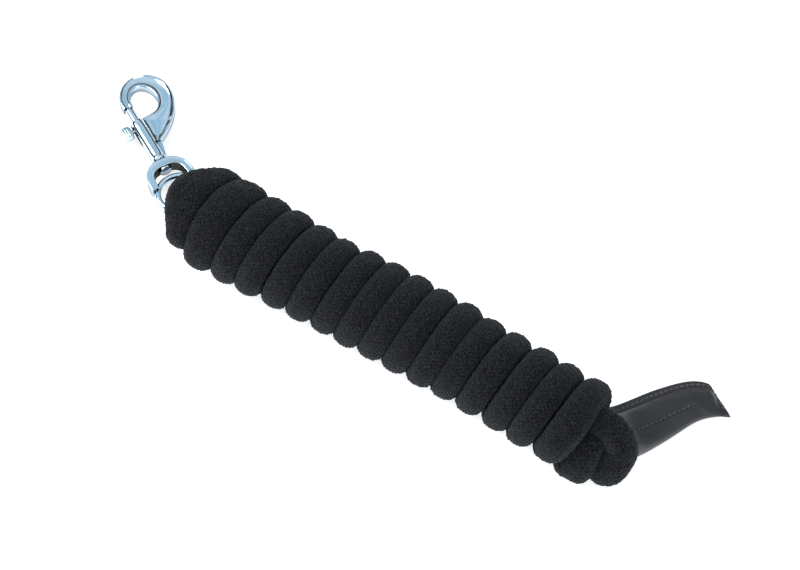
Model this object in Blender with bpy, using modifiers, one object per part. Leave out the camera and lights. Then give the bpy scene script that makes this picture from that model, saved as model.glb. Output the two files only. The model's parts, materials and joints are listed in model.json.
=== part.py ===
"""Lead rope for horses: a soft braided rope wound into a hank, with a swivel bolt snap and a leather popper.

Units are metres and +Z is up. The lead lies on the plane z = 0. The origin is the centre of the
hank's flat underside, and +X runs along the hank from the snap to the popper.

The snap is built in a frame of its own: local +Y runs along the swivel axis from the eye to the
hook, local +X points to the side where the hook bulges, and local +Z is the hook's upper face.
"""

import math
from functools import lru_cache

import bmesh
import bpy
from mathutils import Matrix, Vector

MM = 0.001
GAP = 0.3 * MM  # between pieces that touch

# Rope and hank. The wraps squeeze the soft rope a little wherever it is tucked or folded.
HANK_LENGTH = 308.6 * MM
HANK_CENTRE_X = 6.8 * MM
HANK_WIDTH = 67 * MM
HANK_HEIGHT = 61 * MM
HANK_SINK = 1.0 * MM  # depth of the round section that the flat underside cuts away
HANK_END_ROUNDING = 6 * MM
TUCKED_ROPE_RADIUS = 8.6 * MM
FOLDED_ROPE_RADIUS = 6.75 * MM
ROPE_END_RADIUS = 4.2 * MM
LEG_HEIGHTS = (8.6 * MM, 24.8 * MM)  # of the eye's two legs where they are clamped
CLAMPED_STRETCH = ((-151.4 * MM, -2.6 * MM), (-157.0 * MM, -0.4 * MM))  # its two ends in plan

# Snap: lengths along the swivel axis are counted from the eye's outer face, forward positive.
SWIVEL_POINT = Vector((-201.4, 24.2, 11.35)) * MM
HEADING_DEG = 29.2  # between the snap's forward direction and -X, seen from above
SLOPE_DEG = 6.0  # downwards from the eye to the hook
BARREL_RADIUS = 5.05 * MM
BARREL_FRONT = 37.8 * MM
BORE_RADIUS = 3.3 * MM
BOLT_RADIUS = 2.95 * MM
BOLT_REAR = 22.4 * MM
BOLT_TIP = 50.4 * MM
BOLT_TRAVEL = 12.5 * MM
NOSE_END = 50.7 * MM
HOOK_THICKNESS = 7.0 * MM
HOOK_CENTRE = (14.6 * MM, 53.2 * MM)
HOOK_RADII = (18.2 * MM, 19.1 * MM)
OPENING_CENTRE = (12.6 * MM, 51.2 * MM)
OPENING_RADII = (9.8 * MM, 13.1 * MM)
WEB_CORNER = (8.7 * MM, 16.1 * MM)
STUD_POSITION = 32.2 * MM
STUD_NECK_RADIUS = 1.5 * MM
STUD_KNOB_RADIUS = 3.2 * MM
STUD_KNOB_LENGTH = 8.4 * MM
STUD_KNOB_OFFSET = -9.5 * MM
SLOT_WIDTH = 3.6 * MM

# Swivel eye: a yoke that holds the post, and the round ring that holds the rope.
RING_RADIUS = 15.2 * MM
RING_WIRE_RADIUS = 2.2 * MM
RING_CENTRE = -30.1 * MM
YOKE_HALF_WIDTH = 17.0 * MM
YOKE_LENGTH = 21.6 * MM
YOKE_WALL = 5.0 * MM
YOKE_BRIDGE = 5.8 * MM
YOKE_DEPTH = 9.5 * MM
POST_RADIUS = 2.2 * MM
POST_HOLE_RADIUS = 2.6 * MM
POST_HEAD_RADIUS = 4.6 * MM

# Popper: near and far edges of the folded leather in plan, from its mouth to its toe.
POPPER_NEAR_EDGE = ((201.5, 12), (204.5, 23), (206.5, 39), (216, 62.5), (222.5, 71.5), (230, 77))
POPPER_FAR_EDGE = ((160.5, 27), (165.5, 39), (178.5, 66), (192, 85), (203, 91.5), (212, 89.5))
POPPER_THICKNESS = (21, 18, 15, 12.5, 9, 4.5)
POPPER_CENTRE_HEIGHT = (19.5, 12.6, 8.6, 7.2, 5.6, 3.4)
POPPER_ROUNDNESS = 2.3  # exponent of the section's superellipse
THREAD_RADIUS = 0.45 * MM
EDGE_SEAM_INSET = 0.17  # of the popper's width, from its far edge

# Routes of the rope where it leaves the hank, in millimetres.
END_LOOP_ROUTE = [
    (164, 6, 45.4), (173, 6.5, 47.8), (184, 7, 44.5), (192, 3.5, 33), (190.5, -4, 18.5), (181, -5, 10),
    (171, 1, 9.4), (164, 4.4, 11.6),
]
TAIL_ROUTE = [
    (167, -17, 19.8), (171, -11, 24.4), (173.5, -1, 28.4), (176.5, 9, 25.2),
    (180.5, 18, 18.8), (184.5, 28, 13.2), (188.5, 40, 9.8), (194.5, 54, 8.1), (200, 64, 7.4),
]


def clear_scene():
    for item in list(bpy.data.objects):
        bpy.data.objects.remove(item, do_unlink=True)


def collection(name):
    group = bpy.data.collections.new(name)
    bpy.context.scene.collection.children.link(group)
    return group


def material(name, color, metallic, roughness):
    made = bpy.data.materials.new(name)
    made.use_nodes = True
    shader = made.node_tree.nodes["Principled BSDF"]
    shader.inputs["Base Color"].default_value = (*color, 1.0)
    shader.inputs["Metallic"].default_value = metallic
    shader.inputs["Roughness"].default_value = roughness
    return made


def add(name, data, group, parent=None, finish=None):
    """A new object that holds data, in a collection and on a parent empty."""
    made = bpy.data.objects.new(name, data)
    group.objects.link(made)
    made.parent = parent
    if finish:
        data.materials.append(finish)
    return made


def add_empty(name, matrix):
    empty = add(name, None, PARTS)
    empty.empty_display_size = 10 * MM
    empty.matrix_world = matrix
    bpy.context.view_layer.update()
    return empty


def make_guide(item):
    item.hide_render = True
    item.display_type = "WIRE"


def shade_round(mesh):
    mesh.shade_smooth()
    mesh.set_sharp_from_angle(angle=math.radians(35))


# ---------------------------------------------------------------- shapes


def catmull_rom(points, steps):
    """A smooth curve through points, with steps stretches between each pair."""
    padded = [2 * points[0] - points[1], *points, 2 * points[-1] - points[-2]]
    curve = []
    for a, b, c, d in zip(padded, padded[1:], padded[2:], padded[3:]):
        for step in range(steps):
            t = step / steps
            curve.append(
                0.5 * (2 * b + (c - a) * t + (2 * a - 5 * b + 4 * c - d) * t**2
                       + (3 * b - a - 3 * c + d) * t**3)
            )
    return [*curve, points[-1]]


def resampled(curve, count):
    """count points at equal distances along a curve."""
    lengths = [0.0]
    for a, b in zip(curve, curve[1:]):
        lengths.append(lengths[-1] + (b - a).length)
    picked, k = [], 0
    for i in range(count):
        want = lengths[-1] * i / (count - 1)
        while k < len(curve) - 2 and lengths[k + 1] < want:
            k += 1
        share = (want - lengths[k]) / (lengths[k + 1] - lengths[k])
        picked.append(curve[k].lerp(curve[k + 1], share))
    return picked


def route(points_mm):
    return [Vector(p) * MM for p in points_mm]


@lru_cache
def value_curve(values):
    """A smooth curve through values, which are numbers or pairs of numbers."""
    knots = [Vector((v, 0, 0)) if isinstance(v, (int, float)) else Vector((*v, 0)) for v in values]
    return catmull_rom(knots, 24)


def between(values, t):
    """The value at share t, from 0 to 1, of a smooth curve through evenly spaced values."""
    curve = value_curve(values)
    place = min(max(t, 0.0), 1.0) * (len(curve) - 1)
    k = min(int(place), len(curve) - 2)
    return curve[k].lerp(curve[k + 1], place - k)


def tube_curve(name, points, radii, sides=3):
    """A tube along points; radii is one radius, or one for each point."""
    curve = bpy.data.curves.new(name, "CURVE")
    curve.dimensions = "3D"
    curve.bevel_resolution = sides
    curve.use_fill_caps = True
    if isinstance(radii, float):
        radii = [radii] * len(points)
    curve.bevel_depth = radii[0]
    spline = curve.splines.new("POLY")
    spline.points.add(len(points) - 1)
    for knot, place, radius in zip(spline.points, points, radii):
        knot.co = (*place, 1.0)
        knot.radius = radius / radii[0]
    return curve


def as_mesh(name, data, group, parent=None, finish=None):
    """A curve turned into a closed mesh object, which a Boolean can use."""
    source = add(name + "_curve", data, group, parent)
    bpy.context.view_layer.update()
    evaluated = source.evaluated_get(bpy.context.evaluated_depsgraph_get())
    mesh = bpy.data.meshes.new_from_object(evaluated)
    shape = bmesh.new()
    shape.from_mesh(mesh)
    bmesh.ops.remove_doubles(shape, verts=shape.verts, dist=0.001 * MM)
    bmesh.ops.recalc_face_normals(shape, faces=shape.faces)
    shape.to_mesh(mesh)
    shape.free()
    made = add(name, mesh, group, parent, finish)
    bpy.data.objects.remove(source, do_unlink=True)
    return made


def outline_curve(name, outlines, thickness, rounding=0.0):
    """A flat plate of the given outlines with rounded edges, half its thickness each side of z = 0."""
    curve = bpy.data.curves.new(name, "CURVE")
    curve.dimensions = "2D"
    curve.fill_mode = "BOTH"
    curve.extrude = thickness / 2 - rounding
    curve.bevel_depth = rounding
    curve.bevel_resolution = 1
    curve.offset = -rounding
    for outline in outlines:
        spline = curve.splines.new("POLY")
        spline.points.add(len(outline) - 1)
        spline.use_cyclic_u = True
        for knot, (x, y) in zip(spline.points, outline):
            knot.co = (x, y, 0, 1)
    return curve


def arc(centre, radii, start_deg, end_deg, steps):
    angles = [math.radians(start_deg + (end_deg - start_deg) * i / steps) for i in range(steps + 1)]
    return [(centre[0] + radii[0] * math.cos(a), centre[1] + radii[1] * math.sin(a)) for a in angles]


def bezier(a, b, c, d, steps):
    curve = []
    for i in range(1, steps + 1):
        t = i / steps
        weights = ((1 - t) ** 3, 3 * (1 - t) ** 2 * t, 3 * (1 - t) * t**2, t**3)
        curve.append(tuple(sum(w * p[k] for w, p in zip(weights, (a, b, c, d))) for k in (0, 1)))
    return curve


def turned(name, profile, group, parent, finish, steps=32):
    """A solid turned about local Y. profile lists (radius, y) down its outer side, hook end first."""
    shape = bmesh.new()
    corners = [shape.verts.new((radius, y, 0)) for radius, y in profile]
    for a, b in zip(corners, corners[1:]):
        shape.edges.new((a, b))
    mesh = bpy.data.meshes.new(name)
    shape.to_mesh(mesh)
    shape.free()
    made = add(name, mesh, group, parent, finish)
    screw = made.modifiers.new("Turn", "SCREW")
    screw.axis = "Y"
    screw.steps = screw.render_steps = steps
    screw.use_merge_vertices = True
    screw.merge_threshold = 0.01 * MM
    screw.use_smooth_shade = True
    return made


def cylinder(name, radius, low, high, group, parent, axis="Y", centre=(0, 0), sides=32, finish=None):
    """A cylinder from low to high along a local axis; centre gives the other two coordinates."""
    shape = bmesh.new()
    bmesh.ops.create_cone(shape, cap_ends=True, segments=sides, radius1=radius, radius2=radius,
                          depth=high - low)
    middle = (low + high) / 2
    if axis == "Y":
        turn = Matrix.Rotation(math.radians(-90), 4, "X")
        place = Matrix.Translation((centre[0], middle, centre[1]))
    else:
        turn = Matrix.Rotation(math.radians(90), 4, "Y")
        place = Matrix.Translation((middle, centre[0], centre[1]))
    bmesh.ops.transform(shape, matrix=place @ turn, verts=shape.verts)
    mesh = bpy.data.meshes.new(name)
    shape.to_mesh(mesh)
    shape.free()
    shade_round(mesh)
    return add(name, mesh, group, parent, finish)


def box(name, low, high, group, parent):
    shape = bmesh.new()
    bmesh.ops.create_cube(shape, size=1.0)
    size = [h - l for l, h in zip(low, high)]
    middle = [(l + h) / 2 for l, h in zip(low, high)]
    bmesh.ops.transform(shape, matrix=Matrix.Translation(middle) @ Matrix.Diagonal((*size, 1)),
                        verts=shape.verts)
    mesh = bpy.data.meshes.new(name)
    shape.to_mesh(mesh)
    shape.free()
    return add(name, mesh, group, parent)


def combine(item, tool, operation):
    step = item.modifiers.new(f"{operation.title()} {tool.name}", "BOOLEAN")
    step.operation = operation
    step.object = tool
    step.solver = "EXACT"
    make_guide(tool)


def round_edges(item, width, segments=2, angle_deg=40):
    step = item.modifiers.new("Round edges", "BEVEL")
    step.width = width
    step.segments = segments
    step.limit_method = "ANGLE"
    step.angle_limit = math.radians(angle_deg)


# ---------------------------------------------------------------- rope


def build_hank(finish):
    """The wound part of the rope: an oval cylinder with rounded ends that lies on a flat underside."""
    shape = bmesh.new()
    bmesh.ops.create_cone(shape, cap_ends=True, segments=48, radius1=0.5, radius2=0.5, depth=HANK_LENGTH)
    lay_down = Matrix.Rotation(math.radians(90), 4, "Y")
    oval = Matrix.Diagonal((1, HANK_WIDTH, HANK_HEIGHT + HANK_SINK, 1))
    lift = Matrix.Translation((HANK_CENTRE_X, 0, (HANK_HEIGHT - HANK_SINK) / 2))
    bmesh.ops.transform(shape, matrix=lift @ oval @ lay_down, verts=shape.verts)
    mesh = bpy.data.meshes.new("rope_hank")
    shape.to_mesh(mesh)
    shape.free()
    shade_round(mesh)
    hank = add("rope_hank", mesh, PARTS, finish=finish)
    round_edges(hank, HANK_END_ROUNDING, segments=3)
    below = box("below_ground", (-0.3, -0.1, -0.02), (0.3, 0.1, 0), TOOLS, None)
    combine(hank, below, "DIFFERENCE")


def build_rope_eye(finish):
    """The rope folded through the swivel ring, both legs running back into the hank."""
    wire = TILT_AXIS.matrix_world.translation
    forward = SNAP_TURN @ Vector((0, 1, 0))
    forward.z = 0
    forward.normalize()
    bend = RING_WIRE_RADIUS + GAP + FOLDED_ROPE_RADIUS
    fold = []
    for angle_deg in range(90, -91, -15):
        angle = math.radians(angle_deg)
        fold.append(wire + bend * (math.cos(angle) * forward + math.sin(angle) * Vector((0, 0, 1))))
    face = HANK_CENTRE_X - HANK_LENGTH / 2 - GAP
    legs = [[Vector((x, y, z)) for x, y in ((face, -2.9 * MM), *CLAMPED_STRETCH)] for z in LEG_HEIGHTS]
    path = catmull_rom([*legs[1], *fold, *legs[0][::-1]], 2)
    add("rope_eye", tube_curve("rope_eye", path, FOLDED_ROPE_RADIUS), PARTS, finish=finish)


def build_eye_clamp(finish):
    """The pressed metal band that holds the two legs of the rope's eye together."""
    band_wall = 1.2 * MM
    band_width = 4.4 * MM
    leg = FOLDED_ROPE_RADIUS + GAP
    half_height = (LEG_HEIGHTS[1] - LEG_HEIGHTS[0]) / 2

    def stadium(radius):
        top = arc((half_height, 0), (radius, radius), -90, 90, 10)
        bottom = arc((-half_height, 0), (radius, radius), 90, 270, 10)
        return top + bottom

    plate = outline_curve("eye_clamp", [stadium(leg + band_wall), stadium(leg)], band_width)
    clamp = as_mesh("eye_clamp", plate, PARTS, finish=finish)
    # The outline's length stands upright and its thickness runs along the rope's legs.
    near, far = (Vector((*place, sum(LEG_HEIGHTS) / 2)) for place in CLAMPED_STRETCH)
    along = (near - far).normalized()
    upright = Vector((0, 0, 1))
    turn = Matrix((upright, along.cross(upright), along)).transposed().to_4x4()
    clamp.matrix_world = Matrix.Translation((near + far) / 2) @ turn
    shade_round(clamp.data)


def on_hank_face(place):
    """The point straight back from place, along X, on the hank's end face at the popper."""
    return Vector((HANK_CENTRE_X + HANK_LENGTH / 2 + GAP, place.y, place.z))


def build_end_loop(finish):
    """The bight at the hank's far end, which the tail is tucked through."""
    path = resampled(catmull_rom(route(END_LOOP_ROUTE), 12), 26)
    path = [on_hank_face(path[0]), *path, on_hank_face(path[-1])]
    add("rope_end_loop", tube_curve("rope_end_loop", path, TUCKED_ROPE_RADIUS), PARTS, finish=finish)


def tail_path(extra=0.0):
    """Points and radii of the rope's last stretch, which narrows where the leather squeezes it."""
    curve = catmull_rom(route(TAIL_ROUTE), 12)
    count = 30
    path = resampled(curve, count)
    narrow_from = 0.42
    radii = []
    for i in range(count):
        share = max(0.0, (i / (count - 1) - narrow_from) / (1 - narrow_from))
        eased = share * share * (3 - 2 * share)
        radii.append(TUCKED_ROPE_RADIUS + (ROPE_END_RADIUS - TUCKED_ROPE_RADIUS) * eased + extra)
    return [on_hank_face(path[0]), *path], [radii[0], *radii]


def build_tail(finish):
    path, radii = tail_path()
    add("rope_tail", tube_curve("rope_tail", path, radii), PARTS, finish=finish)


# ---------------------------------------------------------------- popper


def popper_point(t, across, height):
    """A point of the popper: t from mouth to toe, across from near edge (-1) to far edge (1),
    height from underside (-1) to top (1) of the section's thickness there."""
    near = between(POPPER_NEAR_EDGE, t)
    far = between(POPPER_FAR_EDGE, t)
    place = near.lerp(far, (across + 1) / 2)
    place.z = between(POPPER_CENTRE_HEIGHT, t).x + height * between(POPPER_THICKNESS, t).x / 2
    return place * MM


def popper_top(t, across):
    height = (1 - abs(across) ** POPPER_ROUNDNESS) ** (1 / POPPER_ROUNDNESS)
    return popper_point(t, across, height)


def build_popper(finish):
    """The folded leather sleeve around the rope's end, lofted between its two edges."""
    stations, around = 22, 24
    shape = bmesh.new()
    rings = []
    for i in range(stations + 1):
        ring = []
        for k in range(around):
            angle = 2 * math.pi * k / around
            across, height = math.cos(angle), math.sin(angle)
            across = math.copysign(abs(across) ** (2 / POPPER_ROUNDNESS), across)
            height = math.copysign(abs(height) ** (2 / POPPER_ROUNDNESS), height)
            ring.append(shape.verts.new(popper_point(i / stations, across, height)))
        rings.append(ring)
    for first, second in zip(rings, rings[1:]):
        for k in range(around):
            after = (k + 1) % around
            shape.faces.new((first[k], first[after], second[after], second[k]))
    shape.faces.new(reversed(rings[0]))
    shape.faces.new(rings[-1])
    bmesh.ops.recalc_face_normals(shape, faces=shape.faces)
    mesh = bpy.data.meshes.new("popper_sleeve")
    shape.to_mesh(mesh)
    shape.free()
    shade_round(mesh)
    sleeve = add("popper_sleeve", mesh, PARTS, finish=finish)
    path, radii = tail_path(extra=GAP + 0.15 * MM)
    outward = (path[-1] - path[-2]).normalized() * GAP
    socket = as_mesh("popper_socket", tube_curve("popper_socket", [*path, path[-1] + outward * 2],
                                                 [*radii, radii[-1]]), TOOLS)
    combine(sleeve, socket, "DIFFERENCE")


def build_stitching(finish):
    """Two lines of sewing: along the far edge and the toe, and down the middle through the rope."""
    clear = Vector((0, 0, THREAD_RADIUS + GAP))
    far_side = 1 - 2 * EDGE_SEAM_INSET
    edge = [popper_top(t / 100, far_side) + clear for t in range(6, 95, 4)]
    edge += [popper_top(0.955, across / 10) + clear for across in range(5, -7, -2)]
    add("popper_edge_stitching", tube_curve("popper_edge_stitching", resampled(edge, 40), THREAD_RADIUS, 2),
        PARTS, finish=finish)
    centre = [popper_top(t / 100, 0.0) + clear for t in range(16, 67, 5)]
    add("popper_centre_stitching", tube_curve("popper_centre_stitching", centre, THREAD_RADIUS, 2),
        PARTS, finish=finish)


# ---------------------------------------------------------------- snap


def hook_outline():
    """The hook's plate in the snap's frame: round nose, bulging flank, web corner, then the opening."""
    nose_lean = math.degrees(math.asin((NOSE_END - HOOK_CENTRE[1]) / HOOK_RADII[1]))
    inner_lean = math.degrees(math.asin((NOSE_END - OPENING_CENTRE[1]) / OPENING_RADII[1]))
    outer = arc(HOOK_CENTRE, HOOK_RADII, 180 - nose_lean, 0, 26)
    flank = bezier(outer[-1], (33.3 * MM, 42 * MM), (27 * MM, 27 * MM), WEB_CORNER, 9)
    web = [(0.0, WEB_CORNER[1]), (0.0, BARREL_FRONT)]
    opening = arc(OPENING_CENTRE, OPENING_RADII, -90, 180 - inner_lean, 26)
    return outer + flank + web + opening


def build_hook(finish):
    plate = outline_curve("hook_body", [hook_outline()], HOOK_THICKNESS, rounding=1.3 * MM)
    hook = as_mesh("hook_body", plate, PARTS, SWIVEL_AXIS, finish)
    shade_round(hook.data)

    rear = GAP
    barrel = cylinder("barrel", BARREL_RADIUS, rear, BARREL_FRONT, TOOLS, SWIVEL_AXIS)
    combine(hook, barrel, "UNION")

    rib_outline = [(0.0, WEB_CORNER[1] + 1 * MM), (8.4 * MM, WEB_CORNER[1] + 1 * MM),
                   (7.9 * MM, 13.5 * MM), (5.7 * MM, 2 * MM), (0.0, 1 * MM)]
    rib = as_mesh("rib", outline_curve("rib", [rib_outline], 2.4 * MM), TOOLS, SWIVEL_AXIS)
    combine(hook, rib, "UNION")

    bore = cylinder("bore", BORE_RADIUS, -1 * MM, NOSE_END - 0.2 * MM, TOOLS, SWIVEL_AXIS)
    combine(hook, bore, "DIFFERENCE")

    reach = STUD_NECK_RADIUS + 0.4 * MM
    slot = box("slot", (-8 * MM, STUD_POSITION - BOLT_TRAVEL - reach, -SLOT_WIDTH / 2),
               (0, STUD_POSITION + reach, SLOT_WIDTH / 2), TOOLS, SWIVEL_AXIS)
    combine(hook, slot, "DIFFERENCE")


def build_post(finish):
    """The swivel post: a plug that closes the barrel, a shank through the yoke and a riveted head."""
    plug_radius = BORE_RADIUS - GAP
    head_face = -YOKE_BRIDGE - GAP
    profile = [(0, 3.4 * MM), (plug_radius - 0.4 * MM, 3.4 * MM), (plug_radius, 3.0 * MM),
               (plug_radius, GAP), (POST_RADIUS, GAP), (POST_RADIUS, head_face),
               (POST_HEAD_RADIUS, head_face), (POST_HEAD_RADIUS, head_face - 1.0 * MM),
               (POST_HEAD_RADIUS - 1.2 * MM, head_face - 2.1 * MM), (0, head_face - 2.4 * MM)]
    turned("swivel_post", profile, PARTS, SWIVEL_AXIS, finish)


def build_bolt(finish):
    """The sliding bolt that closes the hook, with a cross hole for the thumb stud."""
    chamfer = 0.7 * MM
    profile = [(0, BOLT_TIP), (BOLT_RADIUS - chamfer, BOLT_TIP), (BOLT_RADIUS, BOLT_TIP - chamfer),
               (BOLT_RADIUS, BOLT_REAR), (0, BOLT_REAR)]
    bolt = turned("gate_bolt", profile, PARTS, SWIVEL_AXIS, finish)
    hole = cylinder("stud_hole", 1.3 * MM, -4 * MM, 0, TOOLS, SWIVEL_AXIS, axis="X",
                    centre=(STUD_POSITION, 0), sides=20)
    combine(bolt, hole, "DIFFERENCE")


def build_stud(finish):
    """The thumb stud: a pin pressed into the bolt, a neck through the slot and a knob along the barrel."""
    half = STUD_KNOB_LENGTH / 2
    stud = cylinder("thumb_stud", STUD_KNOB_RADIUS, STUD_POSITION - half, STUD_POSITION + half, PARTS,
                    SWIVEL_AXIS, centre=(STUD_KNOB_OFFSET, 0), sides=14, finish=finish)
    round_edges(stud, 0.5 * MM, segments=1, angle_deg=60)
    neck = cylinder("stud_neck", STUD_NECK_RADIUS, STUD_KNOB_OFFSET, -BOLT_RADIUS - GAP, TOOLS,
                    SWIVEL_AXIS, axis="X", centre=(STUD_POSITION, 0), sides=20)
    pin = cylinder("stud_pin", 1.0 * MM, STUD_KNOB_OFFSET, -GAP, TOOLS,
                   SWIVEL_AXIS, axis="X", centre=(STUD_POSITION, 0), sides=16)
    combine(stud, neck, "UNION")
    combine(stud, pin, "UNION")


def build_spring(finish):
    """The coil spring between the post's plug and the bolt's rear end."""
    turns, steps_per_turn = 9, 10
    wire = 0.28 * MM
    low, high = 3.4 * MM + GAP + wire, BOLT_REAR - GAP - wire
    path = []
    for i in range(turns * steps_per_turn + 1):
        angle = 2 * math.pi * i / steps_per_turn
        y = low + (high - low) * i / (turns * steps_per_turn)
        path.append(Vector((2.4 * MM * math.cos(angle), y, 2.4 * MM * math.sin(angle))))
    add("bolt_spring", tube_curve("bolt_spring", path, wire, 1), PARTS, SWIVEL_AXIS, finish)


def superellipse(half_width, height, base, power, steps):
    """An arch from its left foot over the top to its right foot."""
    arch = []
    for i in range(steps + 1):
        angle = math.pi * (1 - i / steps)
        x, y = math.cos(angle), math.sin(angle)
        x = math.copysign(abs(x) ** (2 / power), x)
        y = max(y, 0.0) ** (2 / power)
        arch.append((half_width * x, base + height * y))
    return arch


def build_swivel_eye(finish):
    """One casting: the yoke that turns on the post, and the round ring that the rope goes through."""
    wire_axis = RING_CENTRE - RING_RADIUS  # the eye's origin is on the wire that the rope bears on
    foot = -YOKE_LENGTH - wire_axis
    outer = superellipse(YOKE_HALF_WIDTH, YOKE_LENGTH, foot, 2.5, 24)
    inner = superellipse(YOKE_HALF_WIDTH - YOKE_WALL, YOKE_LENGTH - YOKE_BRIDGE, foot, 3.2, 24)
    plate = outline_curve("swivel_eye", [outer + inner[::-1]], YOKE_DEPTH, rounding=1.0 * MM)
    eye = as_mesh("swivel_eye", plate, PARTS, TILT_AXIS, finish)
    shade_round(eye.data)

    ring_mesh = bpy.data.meshes.new("ring")
    shape = bmesh.new()
    around, sides = 48, 12
    for i in range(around):
        turn = 2 * math.pi * i / around
        for k in range(sides):
            angle = 2 * math.pi * k / sides
            reach = RING_RADIUS + RING_WIRE_RADIUS * math.cos(angle)
            shape.verts.new((reach * math.sin(turn), RING_RADIUS - reach * math.cos(turn),
                             RING_WIRE_RADIUS * math.sin(angle)))
    shape.verts.ensure_lookup_table()
    for i in range(around):
        for k in range(sides):
            a, b = i * sides, (i + 1) % around * sides
            after = (k + 1) % sides
            shape.faces.new([shape.verts[n] for n in (a + k, a + after, b + after, b + k)])
    bmesh.ops.recalc_face_normals(shape, faces=shape.faces)
    shape.to_mesh(ring_mesh)
    shape.free()
    ring = add("ring", ring_mesh, TOOLS, TILT_AXIS)
    combine(eye, ring, "UNION")

    hole = cylinder("post_hole", POST_HOLE_RADIUS, -YOKE_BRIDGE - 1 * MM - wire_axis,
                    1 * MM - wire_axis, TOOLS, TILT_AXIS)
    combine(eye, hole, "DIFFERENCE")


# ---------------------------------------------------------------- assembly

clear_scene()
PARTS = collection("lead_rope")
TOOLS = collection("cutters_and_guides")

HEADING = math.radians(HEADING_DEG)
FORWARD_FLAT = Vector((-math.cos(HEADING), math.sin(HEADING), 0))
SIDEWAYS = Vector((math.sin(HEADING), math.cos(HEADING), 0))
SLOPE = math.radians(SLOPE_DEG)
FORWARD = math.cos(SLOPE) * FORWARD_FLAT - math.sin(SLOPE) * Vector((0, 0, 1))
SNAP_TURN = Matrix((SIDEWAYS, FORWARD, SIDEWAYS.cross(FORWARD))).transposed()

SWIVEL_AXIS = add_empty("swivel_axis", Matrix.Translation(SWIVEL_POINT) @ SNAP_TURN.to_4x4())
WIRE_POINT = SWIVEL_POINT + FORWARD * (RING_CENTRE - RING_RADIUS)
TILT_AXIS = add_empty("tilt_axis", Matrix.Translation(WIRE_POINT) @ SNAP_TURN.to_4x4())

ROPE = material("rope", (0.012, 0.012, 0.014), 0.0, 0.95)
LEATHER = material("leather", (0.03, 0.027, 0.027), 0.0, 0.45)
THREAD = material("thread", (0.16, 0.10, 0.06), 0.0, 0.8)
CHROME = material("chrome", (0.80, 0.82, 0.84), 1.0, 0.12)
STEEL = material("spring_steel", (0.45, 0.45, 0.46), 1.0, 0.35)
BAND = material("clamp_steel", (0.55, 0.55, 0.56), 1.0, 0.30)

build_hank(ROPE)
build_rope_eye(ROPE)
build_eye_clamp(BAND)
build_end_loop(ROPE)
build_tail(ROPE)
build_popper(LEATHER)
build_stitching(THREAD)
build_hook(CHROME)
build_post(CHROME)
build_bolt(CHROME)
build_stud(CHROME)
build_spring(STEEL)
build_swivel_eye(CHROME)
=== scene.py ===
"""The looks of a horse lead rope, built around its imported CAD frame.

The rope is one braided cord along its whole real route: the eye through the swivel ring, two core
strands, the loop at the far end, sixteen wraps and the tail that is sewn into the leather popper.
Sizes are in millimetres, in the frame of the CAD model, until MM turns them into metres.
"""
import json
import math

import bmesh
import bpy
import numpy as np
from mathutils import Matrix, Vector


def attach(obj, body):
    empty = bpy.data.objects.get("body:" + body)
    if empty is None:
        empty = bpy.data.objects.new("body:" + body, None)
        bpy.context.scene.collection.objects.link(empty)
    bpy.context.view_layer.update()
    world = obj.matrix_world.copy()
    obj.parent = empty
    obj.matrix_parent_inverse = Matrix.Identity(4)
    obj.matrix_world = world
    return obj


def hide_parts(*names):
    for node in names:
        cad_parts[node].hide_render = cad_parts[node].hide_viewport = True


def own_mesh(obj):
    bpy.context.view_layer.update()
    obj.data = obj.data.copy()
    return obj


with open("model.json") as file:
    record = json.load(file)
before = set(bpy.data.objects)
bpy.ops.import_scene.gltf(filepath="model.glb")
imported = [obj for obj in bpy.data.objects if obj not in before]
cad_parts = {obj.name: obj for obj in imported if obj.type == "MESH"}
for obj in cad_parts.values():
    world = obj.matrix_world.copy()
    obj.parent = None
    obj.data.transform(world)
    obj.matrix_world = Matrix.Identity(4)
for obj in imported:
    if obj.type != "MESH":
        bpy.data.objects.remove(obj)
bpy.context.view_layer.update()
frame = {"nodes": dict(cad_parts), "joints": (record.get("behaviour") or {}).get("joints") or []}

MM = 0.001
RANDOM = np.random.RandomState(11)
JOINTS = {joint["name"]: joint for joint in frame["joints"]}

# The snap's own directions, as the joints give them.
WIRE_POINT = Vector(JOINTS["eye_tilt"]["pos_m"])
SWIVEL_POINT = Vector(JOINTS["swivel_spin"]["pos_m"])
SIDEWAYS = Vector(JOINTS["eye_tilt"]["axis"]).normalized()
FORWARD = Vector(JOINTS["swivel_spin"]["axis"]).normalized()
UPPER = SIDEWAYS.cross(FORWARD)
SNAP_TURN = Matrix((SIDEWAYS, FORWARD, UPPER)).transposed()
SNAP_FRAME = Matrix.Translation(SWIVEL_POINT) @ SNAP_TURN.to_4x4()

# Camera and floor, in metres, with the lens in millimetres.
CAMERA_AIM = Vector((0.0002, 0.0199, 0.0443))
CAMERA_BACK = Vector((0.28, -0.414, 0.866)).normalized()
CAMERA_DISTANCE = 12.0
CAMERA_LENS = 790.2
FLOOR_REACH = 12.0

# Rope, in millimetres. Turns are counted from the top of the first wrap.
SECTION_POWER = 2.35  # 2 would be a plain oval, and more is squarer
EYE_HALF_WIDTH = 6.7  # the strand where it is squeezed between clamp and ring
EYE_BEND = 9.25  # from the ring's wire to the middle of the strand round it
WRAPS = 16
WRAP_PITCH = 20.0
FIRST_WRAP_X = -146.0
FIRST_TURN = -0.22
LAST_TURN = WRAPS - 0.56
KNOTS_PER_WRAP = 16
WRAP_HALF_Y = 23.5
WRAP_HALF_Z = 20.5
WRAP_HALF_WIDTH = 10.3  # the strand in a wrap
WRAP_HALF_HEIGHT = 10.0
UNDERSIDE_ADVANCE = 0.4  # how much less than its share a wrap advances over its top, and more below
WRAP_LEAN = 4.6  # how far a wrap's upper near side lies ahead of its middle
LEAN_ANGLE = math.radians(28)  # from a wrap's top to the place that lies furthest ahead
HANK_AXIS_Z = 30.5
CORE_HALF_WIDTH = 6.4
CORE_HALF_HEIGHT = 8.4
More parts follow.
